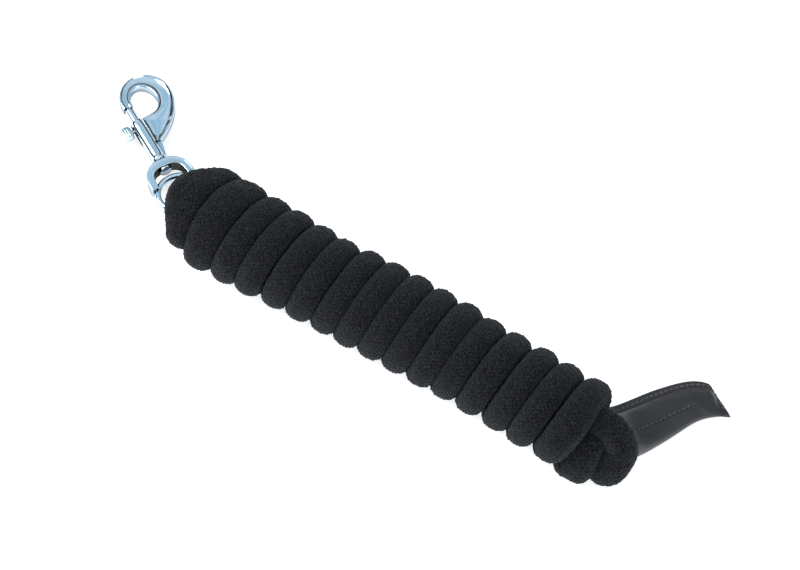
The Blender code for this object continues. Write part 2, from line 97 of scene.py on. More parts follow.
CORE_SIDE = 6.5  # from the hank's axis to each core strand
FLOOR_CLEARANCE = 0.25
ROPE_SOFTNESS = 0.4  # how close to the floor the rope starts to give way to it

# Braid: columns of slanted stitches round the rope, rows along it.
BRAID_COLUMNS = 28
SAMPLES_PER_STITCH = 3
ROW_LENGTH = 2.4
STITCH_RELIEF = 0.75
BRAID_AROUND = BRAID_COLUMNS * SAMPLES_PER_STITCH
BRAID_SINK = 0.6  # share of the relief that lies below the rope's plain surface
CORE_RING_STEP = 4  # rows between two rings where the rope is out of sight

# How the hank lies: (wrap, how far its middle lies towards +Y, how much wider it is each side).
HANK_SHAPE = ((0, 0, 1), (2, -2.5, 3), (4, -0.5, 2), (6, 0, 0.5), (8, 2.5, 0.5), (10, 4, 1.5),
              (13, 4.5, 0), (16, 3.5, 1))

# Wraps aren't evenly packed: (turn, how far it lies towards the snap from its even place).
PACKING = ((1, 1), (10.5, 6.225), (15.5, 0.475))

# Snap, in millimetres in its own frame: x to the hook's bulging side, y from the eye to the hook.
BARREL_RADIUS = 5.05
BARREL_FRONT = 37.8
BORE_RADIUS = 3.3
BOLT_RADIUS = 2.95
BOLT_REAR = 22.4
BOLT_TIP = 50.4
BOLT_TRAVEL = 12.5
BOLT_EDGE = 0.8  # radius of the round edge at its tip
PLUG_END = 3.4  # front of the post's plug in the barrel
SPRING_GAP = 0.3
SPRING_WIRE = 0.28
SPRING_RADIUS = 2.4
SPRING_TURNS = 9
NOSE_END = 50.7
HOOK_HALF_THICKNESS = 3.5
HOOK_CENTRE = (14.6, 53.2)
HOOK_RADII = (18.2, 19.1)
OPENING_CENTRE = (12.2, 51.0)
OPENING_RADII = (8.8, 12.4)
WEB_CORNER = (8.7, 16.1)
STUD_POSITION = 32.2
KNOB_OFFSET = -9.9
KNOB_RADIUS = 3.7
KNOB_HALF_LENGTH = 4.5
SLOT_HALF_WIDTH = 1.8
RING_CENTRE = -30.1
RING_RADIUS = 15.2
RING_WIRE_RADIUS = 2.2
YOKE_HALF_WIDTH = 17.0
YOKE_LENGTH = 21.6
YOKE_WALL = 5.6
YOKE_BRIDGE = 6.8
YOKE_HALF_DEPTH = 4.75
YOKE_OUTER_POWER = 2.5  # the yoke's two arches are superellipses of these powers
YOKE_INNER_POWER = 3.2
SHARP_ANGLE = math.radians(38)  # edges above this are drawn sharp
SHADE_REACH = 13.0  # how near other metal has to be for the painted shade to darken it

# Popper: near and far edges of the folded leather in plan, from its mouth to its toe, in millimetres.
NEAR_EDGE = ((201.5, 12), (203.5, 23), (208.5, 40), (216, 62), (224, 73), (232.5, 79.5))
FAR_EDGE = ((160.5, 27), (166.5, 39), (180, 65), (194, 83.5), (206, 91), (213.5, 88.5))
POPPER_THICKNESS = (21, 18, 15, 12.5, 9, 4.5)
POPPER_HEIGHT = (19.5, 12.6, 8.6, 7.2, 5.6, 3.4)
LEATHER = 2.2  # thickness of one layer
LEATHER_SOFTNESS = 0.3  # how close to the floor the leather starts to give way to it

# Places across the popper, from -1 at the near edge to 1 at the far edge.
SEAM_START = 0.66
SEAM_ROW = 0.81
MIDDLE_ROW = -0.34
PUFF_MIDDLE = (SEAM_START - 1) / 2
PUFF_REACH = (SEAM_START + 1) / 2
PUFF_POWER = 2.3
FLANGE_BLEND = 0.35  # how softly the puffed part runs into the flat flange

# Stitches, in millimetres.
STITCH_PITCH = 3.8
STITCH_LENGTH = 2.9
THREAD_RADIUS = 0.45
STITCH_RINGS = 9
THREAD_SIDES = 8


# ---------------------------------------------------------------- small tools


def add_piece(name, mesh, body, finish):
    """A new piece that rides on a CAD body."""
    piece = bpy.data.objects.new(name, mesh)
    bpy.context.scene.collection.objects.link(piece)
    mesh.materials.append(finish)
    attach(piece, body)
    return piece


def mesh_from(name, points, faces, smooth=True):
    """A mesh from points in metres, or in millimetres where a later step turns them."""
    mesh = bpy.data.meshes.new(name)
    mesh.from_pydata([tuple(p) for p in points], [], faces)
    mesh.validate()
    if smooth:
        mesh.shade_smooth()
    return mesh


def grid_faces(rows, around, closed=False):
    """Quads between rings of points, each ring closed; closed also joins the last ring to the first."""
    k = np.arange(around)
    after = (k + 1) % around
    low = (np.arange(rows if closed else rows - 1) * around)[:, None]
    high = (low + around) % (rows * around)
    quads = np.stack((low + k, low + after, high + after, high + k), axis=-1)
    return quads.reshape(-1, 4)


def smooth_step(x, low, high):
    """0 up to low, 1 from high on, and smooth between."""
    t = np.clip((np.asarray(x, float) - low) / (high - low), 0, 1)
    return t * t * (3 - 2 * t)


def catmull_rom(knots, steps):
    """A smooth curve through rows of numbers, with steps stretches between each pair."""
    knots = np.asarray(knots, float)
    padded = np.vstack((2 * knots[0] - knots[1], knots, 2 * knots[-1] - knots[-2]))
    t = (np.arange(steps) / steps)[:, None]
    parts = []
    for a, b, c, d in zip(padded, padded[1:], padded[2:], padded[3:]):
        parts.append(0.5 * (2 * b + (c - a) * t + (2 * a - 5 * b + 4 * c - d) * t**2
                            + (3 * b - a - 3 * c + d) * t**3))
    return np.vstack((*parts, knots[-1]))


def between(values, t):
    """Rows of numbers read at shares t, from 0 to 1, along a smooth curve through evenly spaced values."""
    knots = np.asarray(values, float).reshape(len(values), -1)
    curve = catmull_rom(knots, 24)
    places = np.clip(t, 0, 1) * (len(curve) - 1)
    return np.stack([np.interp(places, np.arange(len(curve)), column) for column in curve.T], axis=-1)


def distance_along(points):
    """How far along a line of points each of them lies."""
    return np.concatenate(([0.0], np.cumsum(np.linalg.norm(np.diff(points, axis=0), axis=1))))


def bell(x, middle, reach):
    """1 at the middle, and less and less away from it."""
    return np.exp(-(((x - middle) / reach) ** 2))


def angles_round(count):
    """Evenly spaced angles round a circle."""
    return 2 * math.pi * np.arange(count) / count


def directions_round(angles, across, over):
    """Unit directions at these angles round a line, for each place along it."""
    return (np.cos(angles)[None, :, None] * across[:, None, :]
            + np.sin(angles)[None, :, None] * over[:, None, :])


def laid_on_floor(points, softness):
    """Points in mm, held up smoothly where they would go through the floor."""
    depth = (points[..., 2] - FLOOR_CLEARANCE) / softness
    points[..., 2] = FLOOR_CLEARANCE + softness * np.logaddexp(0, depth)
    return points


# ---------------------------------------------------------------- camera


def add_camera():
    """A long lens far away, which looks down on the lead at 60 degrees, from a little to the right."""
    data = bpy.data.cameras.new("camera")
    data.sensor_width = 36
    data.lens = CAMERA_LENS
    data.clip_start = 1.0
    camera = bpy.data.objects.new("camera", data)
    camera.location = CAMERA_AIM + CAMERA_BACK * CAMERA_DISTANCE
    camera.rotation_euler = CAMERA_BACK.to_track_quat("Z", "Y").to_euler()
    bpy.context.scene.collection.objects.link(camera)
    bpy.context.scene.camera = camera


# ---------------------------------------------------------------- material nodes


def fill_ramp(ramp, stops):
    """Give a colour ramp its stops, each (position, colour)."""
    while len(ramp.elements) < len(stops):
        ramp.elements.new(0.5)
    for element, (position, color) in zip(ramp.elements, stops):
        element.position = position
        element.color = (*color, 1.0)


class Shader:
    """Short calls for building one procedural material."""

    def __init__(self, name, color, roughness, metallic=0.0):
        self.material = bpy.data.materials.new(name)
        self.material.use_nodes = True
        self.tree = self.material.node_tree
        self.base = self.tree.nodes["Principled BSDF"]
        self.set(color, "Base Color")
        self.set(roughness, "Roughness")
        self.set(metallic, "Metallic")

    def set(self, value, name):
        self.plug(self.base.inputs[name], (*value, 1.0) if isinstance(value, tuple) else value)

    def node(self, kind, **values):
        made = self.tree.nodes.new(kind)
        for key, value in values.items():
            setattr(made, key, value)
        return made

    def plug(self, socket, value):
        if isinstance(value, bpy.types.NodeSocket):
            self.tree.links.new(value, socket)
        else:
            socket.default_value = value

    def math(self, operation, a, b=0.0, c=0.0):
        made = self.node("ShaderNodeMath", operation=operation)
        for socket, value in zip(made.inputs, (a, b, c)):
            self.plug(socket, value)
        return made.outputs[0]

    def place(self):
        """The point in the object's own metres."""
        return self.node("ShaderNodeTexCoord").outputs["Object"]

    def uv(self, layer):
        """The two coordinates of a UV layer."""
        split = self.node("ShaderNodeSeparateXYZ")
        self.plug(split.inputs[0], self.node("ShaderNodeUVMap", uv_map=layer).outputs[0])
        return split.outputs[0], split.outputs[1]

    def noise(self, scale, detail=3.0, roughness=0.55, distortion=0.0):
        made = self.node("ShaderNodeTexNoise")
        self.plug(made.inputs["Vector"], self.place())
        made.inputs["Scale"].default_value = scale
        made.inputs["Detail"].default_value = detail
        made.inputs["Roughness"].default_value = roughness
        made.inputs["Distortion"].default_value = distortion
        return made.outputs["Fac"]

    def pebbles(self, scale):
        """Distance to the nearest edge between cells."""
        made = self.node("ShaderNodeTexVoronoi", feature="DISTANCE_TO_EDGE")
        self.plug(made.inputs["Vector"], self.place())
        made.inputs["Scale"].default_value = scale
        return made.outputs["Distance"]

    def spread(self, value, low, high, to_low, to_high):
        """value moved from one range to another, and kept inside that."""
        made = self.node("ShaderNodeMapRange")
        for socket, number in zip(made.inputs, (value, low, high, to_low, to_high)):
            self.plug(socket, number)
        return made.outputs[0]

    def colors(self, value, *stops):
        """A colour ramp; each stop is (position, colour)."""
        made = self.node("ShaderNodeValToRGB")
        self.plug(made.inputs[0], value)
        fill_ramp(made.color_ramp, stops)
        return made.outputs[0]

    def bump(self, *layers):
        """Layers of (height socket, distance in millimetres), from coarse to fine."""
        normal = None
        for height, distance in layers:
            made = self.node("ShaderNodeBump")
            made.inputs["Distance"].default_value = distance * MM
            self.plug(made.inputs["Height"], height)
            if normal:
                self.plug(made.inputs["Normal"], normal)
            normal = made.outputs[0]
        self.set(normal, "Normal")


def rope_material():
    """Black braided cotton: painted shade makes it dark between the stitches, and it is a little greyer and
    fuzzy on top of them.
    """
    look = Shader("black_braided_cotton", (0.012, 0.012, 0.014), 0.95)
    column, row = look.uv("braid")
    wander = look.noise(380.0, 2.0, 0.6)
    row = look.math("MULTIPLY_ADD", wander, 1.3, row)
    column = look.math("MULTIPLY_ADD", look.noise(340.0, 2.0, 0.6), 0.7, column)
    slant = look.math("PINGPONG", column, 1.0)
    phase = look.math("MULTIPLY", look.math("ADD", row, slant), 2 * math.pi)
    stitch = look.math("MULTIPLY_ADD", look.math("COSINE", phase), 0.5, 0.5)
    seam = look.math("ABSOLUTE", look.math("SINE", look.math("MULTIPLY", column, math.pi)))
    raised = look.math("MULTIPLY", look.math("MULTIPLY_ADD", seam, 0.5, 0.5), stitch)
    fibres = look.noise(2600.0, 4.0, 0.65)
    tufts = look.spread(look.noise(480.0, 2.0, 0.7), 0.36, 0.64, 0.0, 1.0)
    patches = look.noise(90.0, 3.0)
    tone = look.math("ADD", look.math("MULTIPLY", raised, 0.42), look.math("MULTIPLY", fibres, 0.14))
    tone = look.math("ADD", tone, look.math("MULTIPLY", tufts, 0.32))
    tone = look.math("ADD", tone, look.math("MULTIPLY", patches, 0.1))
    # Painted shade: where raised is low, in the grooves between the stitches, the ramp paints the colour
    # darker.
    look.set(look.colors(tone, (0.15, (0.0012, 0.0012, 0.0014)), (0.42, (0.0056, 0.0056, 0.0061)),
                         (0.85, (0.031, 0.031, 0.033))), "Base Color")
    look.bump((raised, 0.4), (tufts, 0.4), (fibres, 0.3))
    look.set(0.2, "Specular IOR Level")
    look.set(0.22, "Sheen Weight")
    look.set(0.45, "Sheen Roughness")
    look.set((0.35, 0.37, 0.42), "Sheen Tint")
    return look.material


def leather_material():
    """Black bridle leather: fine pebbled grain, long creases, a satin finish that is rubbed in places."""
    look = Shader("black_leather", (0.02, 0.02, 0.022), 0.42)
    grain = look.pebbles(1500.0)
    pores = look.noise(3600.0, 2.0)
    rubbed = look.noise(70.0, 4.0, 0.6)
    creases = look.noise(160.0, 3.0, 0.6, distortion=1.2)
    tone = look.math("ADD", look.math("MULTIPLY", rubbed, 0.7), look.math("MULTIPLY", pores, 0.3))
    look.set(look.colors(tone, (0.3, (0.0095, 0.0084, 0.0098)), (0.55, (0.0158, 0.0142, 0.0165)),
                         (0.8, (0.027, 0.0245, 0.029))), "Base Color")
    look.set(look.spread(rubbed, 0.3, 0.75, 0.33, 0.52), "Roughness")
    look.bump((creases, 0.25), (look.spread(grain, 0.0, 0.25, 0.0, 1.0), 0.06), (pores, 0.03))
    look.set(0.5, "Specular IOR Level")
    look.set(0.22, "Coat Weight")
    look.set(0.3, "Coat Roughness")
    return look.material


def thread_material():
    """Waxed linen thread in a pinkish tan, twisted, and darker where wax and dirt have gathered."""
    look = Shader("waxed_thread", (0.16, 0.10, 0.08), 0.6)
    fibres = look.noise(4200.0, 3.0, 0.6)
    dirt = look.noise(260.0, 3.0)
    tone = look.math("ADD", look.math("MULTIPLY", fibres, 0.5), look.math("MULTIPLY", dirt, 0.5))
    look.set(look.colors(tone, (0.35, (0.055, 0.040, 0.036)), (0.55, (0.15, 0.105, 0.09)),
                         (0.75, (0.24, 0.175, 0.15))), "Base Color")
    look.bump((fibres, 0.12))
    look.set(0.3, "Sheen Weight")
    return look.material


def metal_material(name, dark, light, edge, roughness, scratches=0.012):
    """Plated or bare metal: rub marks, hazy patches, a slightly uneven surface, and recesses darkened by
    painted shade.

    roughness is (where it is clean, where it is hazy); scratches is their depth in millimetres."""
    look = Shader(name, light, roughness[0], 1.0)
    haze = look.noise(45.0, 4.0, 0.6)
    rubs = look.noise(2300.0, 3.0, 0.7, distortion=0.6)
    waves = look.noise(120.0, 2.0)
    tone = look.math("ADD", look.math("MULTIPLY", haze, 0.75), look.math("MULTIPLY", rubs, 0.25))
    # Painted shade: an ambient-occlusion mask and the marked wall of the yoke darken the colour where other
    # metal is near. This stands in for the shade in recesses and for the dark rope they mirror.
    hollow = look.node("ShaderNodeAmbientOcclusion", samples=8)
    hollow.inputs["Distance"].default_value = SHADE_REACH * MM
    open_air = look.spread(hollow.outputs["AO"], 0.35, 0.85, 0.0, 1.0)
    painted_wall_shade = look.node("ShaderNodeAttribute", attribute_name="painted_wall_shade").outputs["Fac"]
    open_air = look.math("MULTIPLY", open_air, look.math("SUBTRACT", 1.0, painted_wall_shade))
    painted_shade = look.node("ShaderNodeVectorMath", operation="MULTIPLY")
    look.plug(painted_shade.inputs[0], look.colors(tone, (0.3, dark), (0.62, light)))
    look.plug(painted_shade.inputs[1], look.colors(open_air, (0.0, (0.09, 0.075, 0.065)), (1.0, (1.0, 1.0, 1.0))))
    look.set(painted_shade.outputs[0], "Base Color")
    look.set(look.spread(tone, 0.3, 0.75, roughness[1], roughness[0]), "Roughness")
    look.bump((waves, 0.05), (rubs, scratches))
    look.set(edge, "Specular Tint")
    return look.material


# ---------------------------------------------------------------- rope route

ALONG_X = (1.0, 0.0, 0.0)
ALONG_Y = (0.0, 1.0, 0.0)


def knot(x, y, z, half_width, half_height=None, wide=ALONG_Y, shown=1.0):
    """One point of the rope's route: its place, its section's half sizes and the section's wide
    direction, all in millimetres, and 1 where the braid is in sight."""
    return (x, y, z, half_width, half_height or half_width, *wide, shown)


def eye_knots():
    """From the rope's cut end through the clamp, round the ring's wire and back through the clamp."""
    wire = np.array(WIRE_POINT) / MM
    forward = np.array([FORWARD.x, FORWARD.y, 0.0])
    forward /= np.linalg.norm(forward)
    across = tuple(SIDEWAYS)
    near_ring, near_hank = (-157.0, -0.4), (-151.4, -2.6)
    low, high = 8.6, 24.8
    lower = [knot(-150.2, -3.1, low, 6.0, wide=across), knot(*near_hank, low, 6.6, wide=across),
             knot(*near_ring, low, EYE_HALF_WIDTH, wide=across)]
    fold = []
    for angle in np.radians(np.arange(-90, 91, 30)):
        place = wire + EYE_BEND * (np.cos(angle) * forward + np.sin(angle) * np.array([0, 0, 1]))
        fold.append(knot(*place, 7.6, EYE_HALF_WIDTH, wide=across))
    upper = [knot(*near_ring, high, EYE_HALF_WIDTH), knot(*near_hank, high, EYE_HALF_WIDTH)]
    return lower + fold + upper


def core_knots(side, direction):
    """A strand that runs inside the wraps, on one side of the hank's axis."""
    places = np.arange(-128, 141, 24)[::direction]
    return [knot(x, side * CORE_SIDE, HANK_AXIS_Z, CORE_HALF_WIDTH, CORE_HALF_HEIGHT, shown=0.0)
            for x in places]


def far_loop_knots():
    """Out of the hank's far end at the top, down in a loop that the tail goes through, and back in."""
    return [
        knot(152, 7, 34, 7.0, shown=0.0), knot(157.5, 8.3, 37, 8.2), knot(164, 8.5, 38.6, 9.8),
        knot(173.5, 9, 40, 10.8), knot(184.8, 7.8, 38.5, 11.1), knot(193, 3.4, 30, 11.1),
        knot(192.5, -4.2, 19, 11.1), knot(185.5, -7.0, 11.6, 10.6), knot(176, -2.5, 10.8, 9.2),
        knot(166, 3, 16.5, 7.2), knot(156, -2.5, 25, 6.4, shown=0.0),
    ]


def return_knots():
    """The core strand comes out of the hank beside the clamp and turns up into the first wrap."""
    return [
        knot(-140, -7.2, 31.5, 6.6, 8.0, shown=0.0), knot(-147, -11, 30.5, 7.4, 8.6),
        knot(-148.8, -17, 28.2, 8.6, 9.2, wide=ALONG_X),
    ]


def sway(low, high):
    """Random shifts for the knots of all the wraps, the same at every run."""
    return catmull_rom(RANDOM.uniform(low, high, (2 * WRAPS + 1, 1)), KNOTS_PER_WRAP // 2)[:, 0]


def wrap_knots():
    """Sixteen wraps, each an oval turn that leans on the one before it."""
    sway_x, sway_out = sway(-0.7, 0.7), sway(-0.9, 0.6)
    wraps, sides, widths = np.array(HANK_SHAPE, float).T
    packed_turns, packing = np.array(PACKING, float).T
    knots = []
    for k, turn in enumerate(np.arange(FIRST_TURN, LAST_TURN, 1 / KNOTS_PER_WRAP)):
        angle = 2 * math.pi * turn
        over_eye = bell(turn, -0.01, 0.13 if turn < -0.01 else 0.11)  # the first wrap covers the eye
        after_it = bell(turn, 1.0, 0.25)  # the second leans after it
        last = bell(turn, 14.9, 0.25)  # the last one spreads

        advance = WRAP_PITCH * (turn - UNDERSIDE_ADVANCE / (2 * math.pi) * math.sin(angle))
        lead = WRAP_LEAN * float(smooth_step(turn, 1.0, 7.0)) * math.cos(angle + LEAN_ANGLE)
        tuck = 2.2 * bell(turn, -0.24, 0.1)  # where the rope comes out of the hank
        shift = tuck - 11.2 * over_eye - 4.3 * after_it + 2.5 * last
        packed = np.interp(turn, packed_turns, packing) * (1 - over_eye)
        x = FIRST_WRAP_X + advance + lead + sway_x[k] + shift - packed

        half_y = WRAP_HALF_Y + np.interp(turn + 1, wraps, widths) + sway_out[k]
        y = np.interp(turn + 1, wraps, sides) + half_y * math.sin(angle)
        shoulder = 3.2 * bell(turn, -0.03, 0.07)
        z = HANK_AXIS_Z + (WRAP_HALF_Z + sway_out[k]) * math.cos(angle) - 3.0 * over_eye + shoulder

        half_width = WRAP_HALF_WIDTH + 4.2 * over_eye + 2.7 * after_it + 1.8 * last
        lean = math.radians(11) * over_eye
        wide = (math.cos(lean), 0.0, math.sin(lean))
        knots.append(knot(x, y, z, half_width, WRAP_HALF_HEIGHT, wide=wide))
    return knots


def tail_knots():
    """The last stretch climbs through the loop and runs into the leather, which squeezes it."""
    return [
        knot(158.5, -4.0, 10.3, 11.0, 10, wide=ALONG_X),
        knot(163.0, -13.0, 10.6, 12.4, 10.2, wide=ALONG_X),
        knot(169.3, -16.8, 14.0, 12.8, 10.6, wide=ALONG_X),
        knot(171.5, -13.0, 23.0, 12.6, 10.8, wide=ALONG_X),
        knot(172.5, -4.5, 30.5, 11.5, 10.2, wide=ALONG_X),
        knot(175.5, 6.5, 27.2, 9.2, wide=ALONG_X),
        knot(180.5, 18, 18.8, 8.3), knot(184.5, 28, 13.2, 7.8), knot(188.5, 40, 9.8, 6.6, 6.0),
        knot(194.5, 54, 8.1, 5.2, 4.6), knot(200, 64, 7.4, 4.6, 3.8, shown=0.0),
    ]


def rope_route():
    """Evenly spaced rings of the rope: places, half sizes, wide directions and how far along, in mm."""
    knots = (eye_knots() + core_knots(1, 1) + far_loop_knots() + core_knots(-1, -1) + return_knots()
             + wrap_knots() + tail_knots())
    curve = catmull_rom(knots, 24)
    along = distance_along(curve[:, :3])
    step = ROW_LENGTH / SAMPLES_PER_STITCH
    fine = np.arange(0, along[-1], step)
    shown = np.interp(fine, along, curve[:, 8])
    coarse = np.arange(len(fine)) % (CORE_RING_STEP * SAMPLES_PER_STITCH) == 0
    kept = fine[(shown > 0.02) | coarse]
    return np.column_stack([np.interp(kept, along, curve[:, i]) for i in range(9)]), kept, along[-1]


def carried_frames(places):
    """Tangents, and a pair of directions across the rope that never twist about it."""
    tangents = np.gradient(places, axis=0)
    tangents /= np.linalg.norm(tangents, axis=1)[:, None]
    first = np.cross(tangents[0], (0, 0, 1))
    across = np.empty_like(places)
    for i, tangent in enumerate(tangents):
        first = first - tangent * (first @ tangent)
        first /= np.linalg.norm(first)
        across[i] = first
    return tangents, across, np.cross(tangents, across)


def braid_relief(rows):
    """Height of the stitches in mm: slanted grains in columns, whose slant alternates."""
    column = np.arange(BRAID_AROUND) / SAMPLES_PER_STITCH
    in_column = column % 1
    slant = np.where(column.astype(int) % 2 == 0, in_column, 1 - in_column)
    crown = 0.45 + 0.55 * np.sin(math.pi * in_column) ** 0.5  # lowest between two columns
    phase = rows[:, None] + slant[None, :]
    grain = 0.7 + 0.3 * np.cos(2 * math.pi * phase)  # lowest between two stitches
    uneven = RANDOM.uniform(0.25, 1.3, (int(phase.max()) + 2, BRAID_COLUMNS))
    size = uneven[np.round(phase).astype(int), column.astype(int)[None, :]]
    return STITCH_RELIEF * size * crown[None, :] * grain


def rope_points(rings, relief):
    """The skin in mm: a squarish oval section round each place, with the relief of the braid on it."""
    places, half_width, half_height = rings[:, :3], rings[:, 3:4], rings[:, 4:5]
    tangents, across, over = carried_frames(places)
    wide = rings[:, 5:8]
    wide = wide - tangents * np.sum(wide * tangents, axis=1)[:, None]
    wide /= np.linalg.norm(wide, axis=1)[:, None]
    high = np.cross(tangents, wide)
    outward = directions_round(angles_round(BRAID_AROUND), across, over)
    on_wide = np.abs(np.einsum("ijk,ik->ij", outward, wide)) / half_width
    on_high = np.abs(np.einsum("ijk,ik->ij", outward, high)) / half_height
    radius = (on_wide**SECTION_POWER + on_high**SECTION_POWER) ** (-1 / SECTION_POWER)
    radius += relief - STITCH_RELIEF * BRAID_SINK
    return laid_on_floor(places[:, None, :] + outward * radius[:, :, None], ROPE_SOFTNESS)


def rope_mesh(places, points):
    """The skin as a mesh in metres, with a fan of triangles over each end."""
    rows, around = points.shape[:2]
    faces = [tuple(face) for face in grid_faces(rows, around).tolist()]
    first_centre, last_centre = rows * around, rows * around + 1
    last = (rows - 1) * around
    for k in range(around):
        after = (k + 1) % around
        faces.append((first_centre, after, k))
        faces.append((last_centre, last + k, last + after))
    ends = np.vstack((places[0], places[-1]))
    return mesh_from("rope", np.vstack((points.reshape(-1, 3), ends)) * MM, faces)


def add_braid_uv(mesh, along):
    """A UV layer that counts columns round the rope and rows along it, and doesn't wrap at its seam."""
    loops = np.empty(len(mesh.loops), int)
    mesh.loops.foreach_get("vertex_index", loops)
    ring = np.minimum(loops // BRAID_AROUND, len(along) - 1)
    column = loops % BRAID_AROUND / SAMPLES_PER_STITCH
    faces_of_loops = np.repeat(np.arange(len(mesh.polygons)), [p.loop_total for p in mesh.polygons])
    highest = np.zeros(len(mesh.polygons))
    np.maximum.at(highest, faces_of_loops, column)
    crosses = (highest[faces_of_loops] > BRAID_COLUMNS - 0.5) & (column < 1)
    uv = np.column_stack((np.where(crosses, column + BRAID_COLUMNS, column), along[ring] / ROW_LENGTH))
    layer = mesh.uv_layers.new(name="braid")
    layer.data.foreach_set("uv", uv.astype(np.float32).ravel())


def build_rope(finish):
    """The rope's piece, the line along its middle and that line's length, both in metres."""
    rings, along, length = rope_route()
    places, shown = rings[:, :3], rings[:, 8:9]
    relief = braid_relief(along / ROW_LENGTH) * shown
    mesh = rope_mesh(places, rope_points(rings, relief))
    add_braid_uv(mesh, along)
    rope = add_piece("rope", mesh, "lead", finish)
    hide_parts("rope_hank", "rope_eye", "rope_end_loop", "rope_tail")
    return rope, places[::2] * MM, length * MM


# ---------------------------------------------------------------- popper


def seam_body(t, across):
    """Half the leather's thickness at t along it and across it: puffed over the rope, flat at the seam."""
    half = between(POPPER_THICKNESS, t)[..., 0] / 2
    seam = np.minimum(half, LEATHER)
    body = seam + (half - seam) * (1 - smooth_step(t, 0.82, 0.935))
    inside = np.clip(np.abs((across - PUFF_MIDDLE) / PUFF_REACH), 0, 1)
    puffed = body * (1 - inside**PUFF_POWER) ** (1 / PUFF_POWER)
    ridge = 0.45 * bell(across, SEAM_START - 0.09, 0.07) * (1 - smooth_step(t, 0.8, 0.93))
    flange = FLANGE_BLEND * np.logaddexp(puffed / FLANGE_BLEND, seam / FLANGE_BLEND)
    return np.where(across > PUFF_MIDDLE, np.where(inside < 1, flange, seam) + ridge, puffed)


def popper_place(t, across, height):
    """Points in mm: t from mouth to toe, across from near (-1) to far edge (1), height from the middle."""
    t, across, height = np.broadcast_arrays(*(np.asarray(v, float) for v in (t, across, height)))
    near, far = between(NEAR_EDGE, t), between(FAR_EDGE, t)
    share = (across[..., None] + 1) / 2
    flat = near * (1 - share) + far * share
    return np.concatenate((flat, (between(POPPER_HEIGHT, t)[..., 0] + height)[..., None]), axis=-1)


def popper_top(t, across):
    """The upper surface, with small folds and the dents that the two rows of stitches pull into it."""
    row = smooth_step(t, 0.06, 0.14) * (1 - smooth_step(t, 0.55, 0.65))
    dents = 1.1 * row * bell(across, MIDDLE_ROW, 0.05) + 0.25 * bell(across, SEAM_ROW, 0.04)
    folds = 0.22 * np.sin(9 * across + 14 * t) * np.sin(23 * t + 2) * smooth_step(t, 0.05, 0.3)
    folds = folds * (1 - smooth_step(t, 0.75, 0.9)) * (across < SEAM_START - 0.15)
    return seam_body(t, across) - dents + folds


def popper_ring(t):
    """The section at t: over the top from the near fold to the cut edge, round it and back below."""
    reach = -1 + 2 * (1 - np.cos(math.pi / 2 * np.linspace(0, 1, 56)))[:-1]
    top = [(a, h) for a, h in zip(reach, popper_top(np.full_like(reach, t), reach))]
    edge = float(seam_body(np.array(t), np.array(1.0)))
    corner = 1 - 0.006
    groove = 1 - 0.03  # between the two layers
    cut = [(corner, edge - 0.1), (1, edge - 0.5), (1, 0.25), (groove, 0), (1, -0.25), (1, 0.5 - edge),
           (corner, 0.1 - edge)]
    below = [(a, -h) for a, h in zip(reach[1:], seam_body(np.full(len(reach) - 1, t), reach[1:]))]
    return np.array(top + cut + below[::-1])


def build_popper(finish):
    """A folded sleeve of leather, sewn along its far side and across its toe, open at its mouth."""
    stations = np.concatenate((np.linspace(0, 0.9, 78), np.linspace(0.91, 1, 14)))
    rings = []
    # Inside the mouth, from its depth out to its rim.
    count = len(popper_ring(0.5))
    turn = -math.pi + 2 * math.pi * (np.arange(count) + 0.5) / count
    opening = float(between(POPPER_THICKNESS, 0.0)[0]) / 2 - LEATHER
    for t in (0.22, 0.12, 0.05, 0.012):
        rings.append(popper_place(t, PUFF_MIDDLE + PUFF_REACH * 0.87 * np.cos(turn),
                                  -opening * (1 - 1.2 * t) * np.sin(turn)))
    for t in stations:
        rings.append(popper_place(t, *popper_ring(t).T))
    # The toe's cut edge is pinched between its two layers.
    across, height = popper_ring(1.0).T
    for back in (0.0, 0.008):
        rings.append(popper_place(1.0 - back, across * 0.985, height * 0.1))
    mesh = closed_loft("popper_leather", laid_on_floor(np.array(rings), LEATHER_SOFTNESS) * MM)
    mesh.set_sharp_from_angle(angle=math.radians(50))
    leather = add_piece("popper_leather", mesh, "lead", finish)
    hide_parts("popper_sleeve")
    return leather


def stitches(name, path, finish, node):
    """Separate stitches along a row: each a short thread whose ends dip into the leather."""
    along = distance_along(path)
    angles = angles_round(THREAD_SIDES)
    arch = np.sin(np.linspace(0, math.pi, STITCH_RINGS))
    end = tuple(range(THREAD_SIDES))
    other_end = tuple((STITCH_RINGS - 1) * THREAD_SIDES + n for n in end)
    stitch_faces = [*grid_faces(STITCH_RINGS, THREAD_SIDES).tolist(), end[::-1], other_end]
    points, faces = [], []
    for i in range(int(along[-1] / STITCH_PITCH)):
        places = (i + 0.5) * STITCH_PITCH + STITCH_LENGTH * np.linspace(-0.5, 0.5, STITCH_RINGS)
        centre = np.stack([np.interp(places, along, column) for column in path.T], axis=-1)
        forward = centre[-1] - centre[0]
        forward /= np.linalg.norm(forward)
        side = np.cross((0, 0, 1), forward)
        side /= np.linalg.norm(side)
        rise = np.cross(forward, side)
        slant = (0.22 + RANDOM.uniform(-0.08, 0.08)) * np.linspace(-1, 1, STITCH_RINGS)
        centre = centre + rise * (0.55 * arch - 0.42)[:, None] + side * slant[:, None]
        size = THREAD_RADIUS * (0.35 + 0.75 * arch**0.4) * RANDOM.uniform(0.92, 1.08)
        ring = np.cos(angles)[:, None] * side + np.sin(angles)[:, None] * rise
        base = len(points)
        points.extend((centre[:, None, :] + size[:, None, None] * ring[None]).reshape(-1, 3))
        faces.extend(tuple(base + n for n in face) for face in stitch_faces)
    row = add_piece(name, closed_mesh(name, np.array(points) * MM, faces), "lead", finish)
    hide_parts(node)


